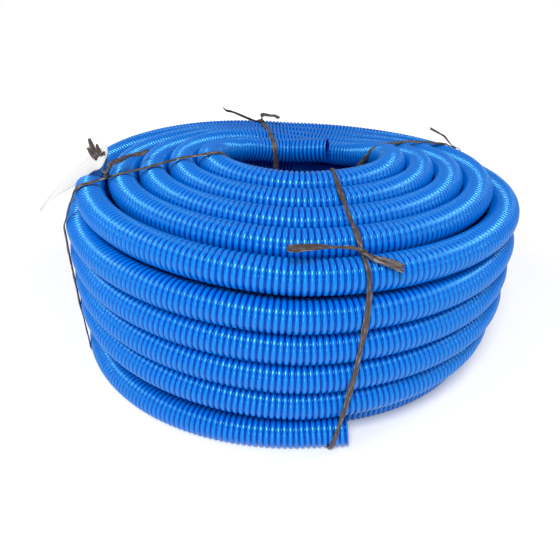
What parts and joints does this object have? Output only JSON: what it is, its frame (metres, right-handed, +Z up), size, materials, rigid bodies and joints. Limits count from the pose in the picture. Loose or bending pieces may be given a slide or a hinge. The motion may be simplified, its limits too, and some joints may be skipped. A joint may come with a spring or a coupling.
{
  "type": "pool vacuum hose",
  "caption": "Long ribbed blue pool vacuum hose wound into a ring-shaped roll, both cut ends open, held by film ties with a blank hanging label.",
  "frame": {"origin": "centre of the roll's eye, on the floor that the roll lies on", "axes": "+Z up along the eye; +X the way the mouth of the outer end points; -Y to the side where the outer end lies"},
  "size_m": [0.7647, 0.7223, 0.3406],
  "materials": {
    "hose": "glossy, finely ribbed",
    "film": "folded plastic film with a faint sheen",
    "label": "smooth, blank"
  },
  "bodies": {
    "roll": {"hose_turns": "hose", "hidden_turns": "hose", "hose_outer_end": "hose", "hose_inner_end": "hose", "front_tie": "film", "front_knot": "film", "front_tails": "film", "left_tie": "film", "left_knot": "film", "left_tails": "film", "back_tie": "film", "back_knot": "film", "back_tails": "film", "right_tie": "film", "right_knot": "film", "right_tails": "film"},
    "label": {"label": "label"}
  },
  "joints": [
    {"name": "label_swing", "type": "hinge", "parent": "roll", "child": "label", "pos_m": [-0.30755, -0.08241, 0.32733], "axis": [-0.554, -0.1485, 0.8192], "range_deg": [-35, 35]}
  ]
}
